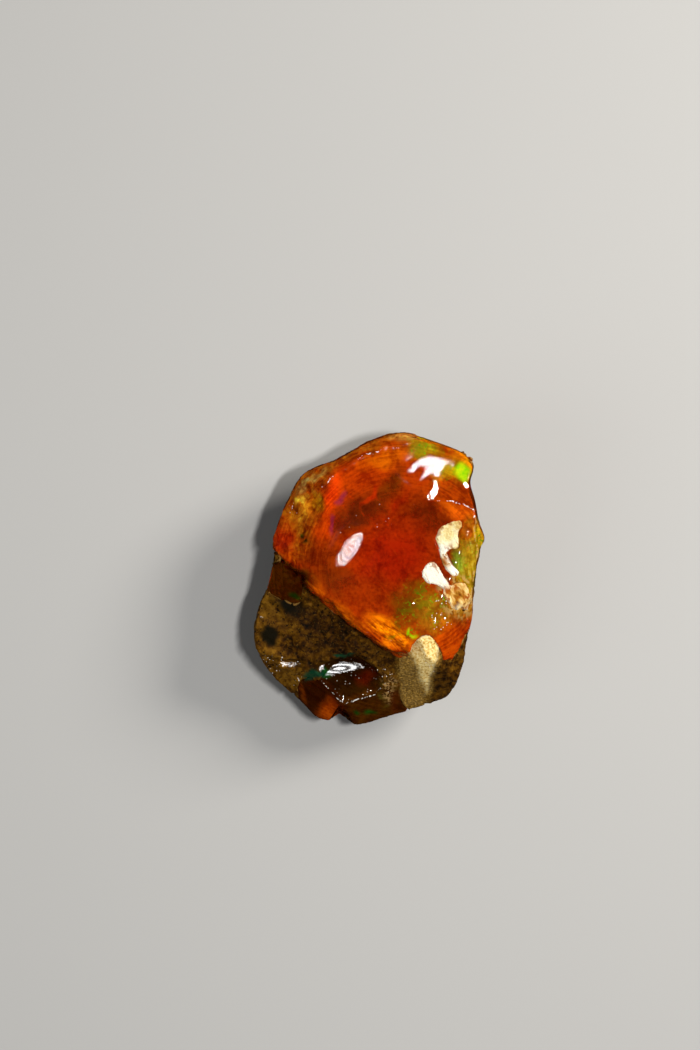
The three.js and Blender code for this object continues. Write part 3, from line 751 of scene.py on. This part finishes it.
class Nodes:
    """Short calls for building a material's nodes."""

    def __init__(self, name):
        self.material = bpy.data.materials.new(name)
        self.material.use_nodes = True
        self.tree = self.material.node_tree
        self.shader = self.tree.nodes["Principled BSDF"]
        self.output = self.tree.nodes["Material Output"]
        coordinates = self.add("TexCoord").outputs["Object"]
        self.mm = self.vector("MULTIPLY", coordinates, (1 / MM,) * 3)

    def add(self, kind, inputs=None, **settings):
        made = self.tree.nodes.new("ShaderNode" + kind)
        for key, value in settings.items():
            setattr(made, key, value)
        for key, value in (inputs or {}).items():
            self.put(made.inputs[key], value)
        return made

    def put(self, socket, value):
        if isinstance(value, bpy.types.NodeSocket):
            self.tree.links.new(value, socket)
        else:
            socket.default_value = value

    def set(self, name, value):
        """Sets or links one of the shader's own inputs."""
        self.put(self.shader.inputs[name], value)

    def mask(self, name, share=None, plus=None):
        """One of the mesh's masks, times `share`, plus `plus`."""
        found = self.add("Attribute", attribute_name=name).outputs["Fac"]
        return found if share is None else self.times(found, share, plus)

    def math(self, operation, a, b=0.0, c=0.0):
        return self.add("Math", {0: a, 1: b, 2: c}, operation=operation).outputs[0]

    def vector(self, operation, a, b=(0, 0, 0), output="Vector"):
        return self.add("VectorMath", {0: a, 1: b}, operation=operation).outputs[output]

    def times(self, a, b, plus=None):
        return self.math("MULTIPLY", a, b) if plus is None else self.math("MULTIPLY_ADD", a, b, plus)

    def larger(self, a, b):
        return self.math("MAXIMUM", a, b)

    def rest(self, share):
        return self.math("SUBTRACT", 1.0, share)

    def mix(self, share, a, b, blend="MIX"):
        """Colour `a` with `share` of colour `b` laid over it."""
        made = self.add("Mix", data_type="RGBA", blend_type=blend)
        self.put(made.inputs[0], share)
        for index, tone in ((6, a), (7, b)):
            self.put(made.inputs[index], (*tone, 1) if isinstance(tone, tuple) else tone)
        return made.outputs[2]

    def tinted(self, a, b):
        return self.mix(1.0, a, b, "MULTIPLY")

    def noise(self, size, detail=3.0, stretch=None, turn=(0, 0, 0), distortion=0.0):
        where = self.mm
        if stretch:
            where = self.add("Mapping", {0: where, 2: turn, 3: stretch}, vector_type="TEXTURE").outputs[0]
        inputs = {"Vector": where, "Scale": 1 / size, "Detail": detail, "Distortion": distortion}
        return self.add("TexNoise", inputs).outputs[0]

    def cells(self, size, output="Distance"):
        return self.add("TexVoronoi", {"Vector": self.mm, "Scale": 1 / size}).outputs[output]

    def arcs(self, centre, size, along):
        """Noise in arcs about an upright line through `centre`, with features of `size` across them."""
        flat = self.vector("SUBTRACT", self.mm, (*centre, 0))
        flat = self.vector("MULTIPLY", flat, (1, 1, 0))
        radius = self.vector("LENGTH", flat, output="Value")
        out = self.vector("MULTIPLY", self.vector("NORMALIZE", flat), (along,) * 3)
        lift = self.add("CombineXYZ", {2: self.math("DIVIDE", radius, size)}).outputs[0]
        where = self.vector("ADD", out, lift)
        inputs = {"Vector": where, "Scale": 1.0, "Detail": 3.0, "Distortion": 0.3}
        return self.add("TexNoise", inputs).outputs[0]

    def rings(self, centre, radii, turn, count):
        """A wave in rings about an upright line: `count` of them inside the oval of these radii."""
        middle = (*centre, 0)
        reach = (*radii, 1e6)
        angle = (0, 0, math.radians(turn))
        inputs = {0: self.mm, 1: middle, 2: angle, 3: reach}
        oval = self.add("Mapping", inputs, vector_type="TEXTURE").outputs[0]
        radius = self.vector("LENGTH", oval, output="Value")
        wave = self.math("SINE", self.times(radius, 2 * math.pi * count))
        return self.times(wave, self.rest(self.between(radius, 1.0, 1.6)))

    def specks(self, mask, size, rarity):
        """1 on round specks, the more of them the closer the mask is to 1."""
        near = self.rest(self.between(self.cells(size), 0.16, 0.26))
        chosen = self.times(mask, 1 - rarity, self.cells(size, "Color"))
        return self.times(near, self.between(chosen, 0.98, 1.0))

    def between(self, value, low, high):
        """0 below low, 1 above high, smooth between."""
        inputs = {"Value": value, "From Min": low, "From Max": high}
        return self.add("MapRange", inputs, interpolation_type="SMOOTHSTEP").outputs[0]

    def ramp(self, value, stops):
        made = self.add("ValToRGB", {0: value})
        elements = made.color_ramp.elements
        while len(elements) < len(stops):
            elements.new(0.5)
        for element, (place, tone) in zip(elements, stops):
            element.position = place
            element.color = (*tone, 1)
        return made.outputs[0]

    def bump(self, height, strength, distance, normal=None):
        inputs = {"Height": height, "Strength": strength, "Distance": distance}
        if normal is not None:
            inputs["Normal"] = normal
        return self.add("Bump", inputs).outputs[0]


LEDGE_ANGLE = (0, 0, -0.66)  # of the layers that run along the ledge, about +Z
OPAL_IOR = 1.42
# The white of the crushed edges, the dust specks and the painted glints.
CRUSHED_WHITE = (0.95, 0.92, 0.84)


def with_crumbs(n, body):
    """The body colour with pale crumbs over it."""
    return n.mix(n.mask("crumbs", n.between(n.noise(0.4), 0.47, 0.55)), body, (0.44, 0.25, 0.08))


def island_streaks(n):
    """Noise in streaks, across the edges of the islands."""
    return n.noise(0.6, 4, (1, 4, 1), (0, 0, 0.6), 0.2)


def opal_material():
    n = Nodes("opal")
    arcs = n.arcs(ARC_CENTRE, 0.32, 3.0)
    clouds = n.noise(2.6, 4, distortion=0.8)
    fine = n.noise(0.45)
    body = n.add("Attribute", attribute_name="body").outputs["Color"]
    streaky = n.mask("arcs", 0.42)
    tone = n.times(n.math("SUBTRACT", arcs, 0.5), streaky, n.times(clouds, 0.55))
    tone = n.between(n.times(fine, 0.34, tone), 0.28, 0.6)
    dark = n.tinted(body, (0.62, 0.48, 0.45))
    light = n.tinted(body, (1.4, 1.7, 1.5))
    body = n.mix(tone, dark, light)
    layers = n.ramp(n.noise(0.7, 4, (5, 1, 1), LEDGE_ANGLE, 0.8), [
        (0.38, (0.26, 0.12, 0.2)), (0.49, (0.95, 0.9, 1)), (0.64, (1.35, 2.2, 1.5)),
    ])
    body = n.mix(n.mask("layers", 0.9), body, n.tinted(body, layers))
    sparks = n.between(n.noise(0.8, 3, (1, 3, 1), (0, 0, 0.5)), 0.62, 0.72)
    not_dark = n.rest(n.mask("dark"))
    sparks = n.times(n.times(sparks, 0.3), not_dark)
    body = n.mix(sparks, body, (0.8, 0.06, 0.002))
    olive = n.mask("olive", n.between(n.noise(1.4, 4), 0.4, 0.6))
    body = n.mix(n.times(olive, 0.4), body, (0.2, 0.12, 0.003))
    fire = n.noise(0.7, 3, distortion=1.2)
    fleck_tone = n.ramp(n.noise(1.1, 1), [
        (0.35, (0.05, 0.26, 0.004)), (0.5, (0.18, 0.46, 0.006)), (0.65, (0.5, 0.42, 0.01)),
    ])
    soft_green = n.mask("green", n.between(n.noise(1.2, 2), 0.42, 0.6))
    body = n.mix(n.times(soft_green, 0.45), body, (0.14, 0.24, 0.003))
    shown = n.larger(n.mask("green"), n.mask("olive", 0.4))
    body = n.mix(n.times(n.between(fire, 0.57, 0.63), shown), body, fleck_tone)
    lime = n.ramp(n.noise(0.8, 2), [(0.35, (0.3, 0.82, 0.004)), (0.65, (0.8, 0.95, 0.006))])
    body = n.mix(n.mask("lime"), body, lime)
    body = n.mix(n.mask("teal"), body, (0.002, 0.06, 0.028))
    body = n.mix(n.mask("violet", 0.5), body, (0.25, 0.01, 0.12))
    mottle = n.ramp(n.noise(1.3, 5, distortion=0.8), [
        (0.32, (0.5, 0.34, 0.2)), (0.46, (0.95, 0.85, 0.8)), (0.6, (1.2, 1.6, 1.5)),
        (0.74, (1.4, 2.4, 4.00)),
    ])
    body = n.mix(n.mask("crust"), body, n.tinted(body, mottle))
    fibres = n.ramp(n.noise(0.5, 4, (1, 5, 2), (0, 0, 0.15), 0.5), [
        (0.34, (0.45, 0.4, 0.3)), (0.48, (1, 1, 1)), (0.6, (1.25, 1.4, 2.5)), (0.7, (1.5, 1.9, 10)),
    ])
    body = n.mix(n.mask("fibres", 0.85), body, n.tinted(body, fibres))
    seam = n.between(n.mask("seam", n.math("ADD", n.noise(0.5, 2), 0.35)), 0.62, 0.8)
    body = n.mix(n.times(seam, 0.8), body, (0.72, 0.42, 0.12))
    # The crushed edges are painted white: partly the edge's own white, partly painted glints along it.
    broken = n.mask("crushed", n.math("ADD", n.noise(0.3, 2), 0.35))
    crushed = n.between(broken, 0.78, 0.86)
    dust = n.times(n.specks(n.mask("dusty"), 0.42, 0.66), 0.35)
    glitter = n.specks(n.mask("glitter"), 0.36, 0.3)
    # The dust specks and the painted glints join them, all painted white.
    crushed = n.larger(crushed, n.larger(dust, glitter))
    body = with_crumbs(n, body)
    streaks = n.mask("streaks", n.between(island_streaks(n), 0.5, 0.57))
    body = n.mix(streaks, body, (0.62, 0.36, 0.09))
    body = n.mix(crushed, body, CRUSHED_WHITE)
    n.set("Base Color", body)
    solid = n.larger(n.larger(n.mask("crust"), n.mask("lit")), n.mask("dark"))
    clear = n.times(solid, -0.25, 0.5)
    n.set("Transmission Weight", n.times(clear, n.rest(crushed)))
    n.set("Roughness", n.mask("crust", 0.12, 0.035))
    dull = n.larger(n.mask("dull"), n.mask("crust", 0.6))
    rings = n.math("ADD", n.rings((-2.7, 4.7), (3.2, 1.5), 55, 4), n.rings((-4.4, -13.3), (3.4, 0.9), 4, 2))
    plain = n.mask("star", 0.25, n.times(n.noise(1.2, 2), 0.4, 0.35))
    shine = n.ramp(n.times(rings, 0.45, plain), [
        (0.2, (0.008,) * 3), (0.5, (0.05,) * 3), (0.85, (0.095,) * 3),
    ])
    gloss = n.mix(n.mask("shine"), (1, 1, 1), shine)
    gloss = n.times(gloss, n.rest(n.larger(crushed, dull)))
    n.set("Coat Weight", gloss)
    n.set("Coat Roughness", 0.04)
    n.set("Coat IOR", OPAL_IOR)
    ripple = n.bump(n.noise(1.5), 0.1, 0.00006)
    for name in ("Normal", "Coat Normal"):
        n.set(name, n.bump(fine, 0.08, 0.00002, ripple))
    n.set("IOR", OPAL_IOR)
    n.set("Specular Tint", (0, 0, 0, 1))  # the coat has all of the gloss
    depth = n.add("VolumeAbsorption", {"Color": (0.95, 0.35, 0.05, 1), "Density": 180.0})
    n.tree.links.new(depth.outputs[0], n.output.inputs["Volume"])
    return n.material


def rock_material():
    n = Nodes("host_rock")
    broad = n.noise(4.5, 4)
    mottle = n.noise(0.8, 6, distortion=0.4)
    speck = n.noise(0.3)
    value = n.times(broad, 0.3, n.times(mottle, 0.55, 0.155))
    value = n.mask("tan", 0.1, value)
    # Painted shadow below the ledge: the rock's tone is lowered there.
    value = n.mask("dim", -0.05, value)
    body = n.ramp(value, [
        (0.44, (0.004, 0.002, 0.0002)), (0.54, (0.034, 0.011, 0.0004)), (0.64, (0.1, 0.038, 0.001)),
        (0.78, (0.22, 0.098, 0.006)),
    ])
    pits = n.times(n.between(n.noise(0.5), 0.58, 0.66), 0.9)
    body = n.mix(pits, body, (0.003, 0.0015, 0.0003))
    grains = n.times(n.between(speck, 0.58, 0.72), 0.35)
    body = n.mix(grains, body, (0.26, 0.14, 0.02))
    coarse = n.times(n.noise(2.4, 2), 0.65)
    cream = n.ramp(n.times(n.noise(0.4), 0.35, coarse), [
        (0.34, (0.66, 0.42, 0.12)), (0.46, (0.9, 0.72, 0.32)), (0.58, (0.97, 0.88, 0.56)),
    ])
    # The pale islands whitened: partly their own white, partly painted highlight.
    cream = n.mix(n.mask("white", 0.8), cream, (0.97, 0.95, 0.82))
    spots = n.mask("spots", n.between(n.noise(0.45), 0.52, 0.6))
    cream = n.mix(spots, cream, (0.4, 0.18, 0.03))
    tongue = n.ramp(n.noise(0.32), [
        (0.34, (0.5, 0.28, 0.06)), (0.46, (0.84, 0.56, 0.17)), (0.6, (0.95, 0.76, 0.34)),
    ])
    cream = n.mix(n.mask("tongue"), cream, tongue)
    body = n.mix(n.mask("cream"), body, cream)
    buff = n.ramp(n.noise(0.8, 4, (1, 3.5, 1), (0, 0, 0.6), 0.15), [
        (0.38, (0.14, 0.03, 0.001)), (0.46, (0.42, 0.18, 0.015)), (0.56, (0.66, 0.38, 0.1)),
        (0.68, (0.9, 0.68, 0.3)),
    ])
    body = n.mix(n.mask("buff"), body, buff)
    gaps = n.mask("edge", n.rest(n.between(island_streaks(n), 0.43, 0.49)))
    body = n.mix(gaps, body, (0.34, 0.075, 0.003))
    # Painted shade: the tongue's left side, its lower end and its right edge are laid on darker, as they lie
    # in shade.
    sand = n.ramp(n.noise(0.28), [
        (0.34, (0.08, 0.036, 0.004)), (0.5, (0.18, 0.09, 0.01)), (0.66, (0.38, 0.215, 0.04)),
    ])
    body = n.mix(n.mask("shade", 0.95), body, sand)
    body = n.mix(n.mask("glass"), body, (0.006, 0.004, 0.0005))
    body = n.mix(n.mask("teal", 0.9), body, (0.002, 0.05, 0.02))
    body = with_crumbs(n, body)
    # Painted glints on the rock, laid on as white specks.
    body = n.mix(n.specks(n.mask("glitter"), 0.36, 0.5), body, CRUSHED_WHITE)
    body = n.mix(n.mask("wall"), body, (0.8, 0.42, 0.1))
    n.set("Base Color", body)
    n.set("Roughness", 0.7)
    film = n.ramp(n.noise(0.9, 3, distortion=0.6), [
        (0.38, (0.012,) * 3), (0.5, (0.06,) * 3), (0.66, (0.11,) * 3),
    ])
    n.set("Coat Weight", n.mask("wet", film))
    n.set("Coat Roughness", 0.06)
    n.set("Specular IOR Level", 0.08)
    n.set("Normal", n.bump(speck, 0.5, 0.00018, n.bump(mottle, 0.5, 0.0004)))
    n.set("Coat Normal", n.bump(mottle, 0.25, 0.0001))
    return n.material


def add_masks(mesh, masks):
    for name, values in masks.items():
        attribute = mesh.attributes.new(name, "FLOAT", "POINT")
        attribute.data.foreach_set("value", np.clip(values, 0, 1).astype(np.float32))


def add_colours(mesh, colours):
    attribute = mesh.attributes.new("body", "FLOAT_COLOR", "POINT")
    attribute.data.foreach_set("color", np.column_stack((colours, np.ones(len(colours)))).ravel())


def dressed(name, node, field, voxel, wall_of, dress, masks_of, material):
    """Makes the fine piece that stands for a solid, with its relief, its masks and its material."""
    mesh, p = fine_mesh(node, field, voxel)
    wall = wall_of(p)
    normals = normals_of(mesh, p)
    up = smooth(normals[:, 2], 0.1, 0.5)
    masks = masks_of(p, wall, up)
    if node == "opal":
        add_colours(mesh, OPAL_GAIN * opal_colours(p, up))
    p = dress(p, normals, wall)
    mesh.vertices.foreach_set("co", (p * MM).ravel())
    add_masks(mesh, masks)
    mesh.shade_smooth()
    mesh.materials.clear()
    mesh.materials.append(material)
    obj = placed(name, mesh)
    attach(obj, "root")
    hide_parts(node)


def opal_wall(p):
    """1 on the opal's hidden contact with the rock."""
    return smooth(-stone(p), 0.05, 0.4) * smooth(-wear(p), 0, 0.3)


def rock_wall(p):
    """1 on the rock's hidden contact with the opal."""
    return smooth(-both(stone(p), wear(p)), 0.15, 0.5)


dressed("opal_body", "opal", opal_field, OPAL_VOXEL, opal_wall, dressed_opal, opal_masks, opal_material())
dressed("host_rock_body", "host_rock", rock_field, ROCK_VOXEL, rock_wall, dressed_rock, rock_masks,
        rock_material())


# -------------------------------------------------- floor, lights, camera

VIEW_DISTANCE = 0.5  # from the camera to the stone's middle height
VIEW_HEIGHT = 0.1575  # what the frame takes in there, top to bottom
VIEW_CENTRE = (-0.00285, 0.00825, 0.012)
STONE_MIDDLE = Vector((0, 0, 0.012))


def floor():
    mesh = bpy.data.meshes.new("floor")
    half = 1.5
    corners = [(-half, -half, 0), (half, -half, 0), (half, half, 0), (-half, half, 0)]
    mesh.from_pydata(corners, [], [(0, 1, 2, 3)])
    n = Nodes("floor")
    n.set("Base Color", (0.5, 0.49, 0.47, 1))
    n.set("Roughness", 0.8)
    mesh.materials.append(n.material)
    obj = placed("floor", mesh)
    obj.visible_glossy = False


def light(name, direction, distance, size, power, tint=(1, 1, 1), length_along=(0, 1)):
    """A soft light that looks at the stone. Its longer side runs along `length_along`, seen from above."""
    data = bpy.data.lights.new(name, "AREA")
    data.shape = "ELLIPSE"
    data.size, data.size_y = size
    data.energy = power
    data.color = tint
    obj = placed(name, data)
    back = Vector(direction).normalized()
    up = Vector((*length_along, 0))
    up = (up - up.project(back)).normalized()
    turn = Matrix((up.cross(back), up, back)).transposed()
    obj.matrix_world = Matrix.Translation(STONE_MIDDLE + distance * back) @ turn.to_4x4()
    return obj


def camera():
    data = bpy.data.cameras.new("camera")
    data.sensor_fit = "VERTICAL"
    data.sensor_height = 36
    data.lens = data.sensor_height * VIEW_DISTANCE / VIEW_HEIGHT
    data.clip_start = 0.01
    obj = placed("camera", data)
    obj.location = Vector(VIEW_CENTRE) + Vector((0, 0, VIEW_DISTANCE))
    bpy.context.scene.camera = obj


def world():
    made = bpy.data.worlds.new("world")
    made.use_nodes = True
    background = made.node_tree.nodes["Background"]
    background.inputs["Color"].default_value = (0.9, 0.95, 1, 1)
    background.inputs["Strength"].default_value = 0.06
    made.cycles_visibility.glossy = False
    bpy.context.scene.world = made


floor()
world()
camera()
light("key", (0.22, 0.02, 1), distance=0.5, size=(0.022, 0.072), power=1.5, length_along=(0.63, 0.78))
side = light("side", (1, 0.6, 0.75), distance=0.5, size=(0.2, 0.2), power=2.4, tint=(1, 0.97, 0.92))
fill = light("fill", (-1, -0.4, 0.6), distance=0.6, size=(0.4, 0.4), power=0.7, tint=(0.92, 0.96, 1))
side.visible_glossy = False
fill.visible_glossy = False
bpy.context.scene.view_settings.view_transform = "Standard"
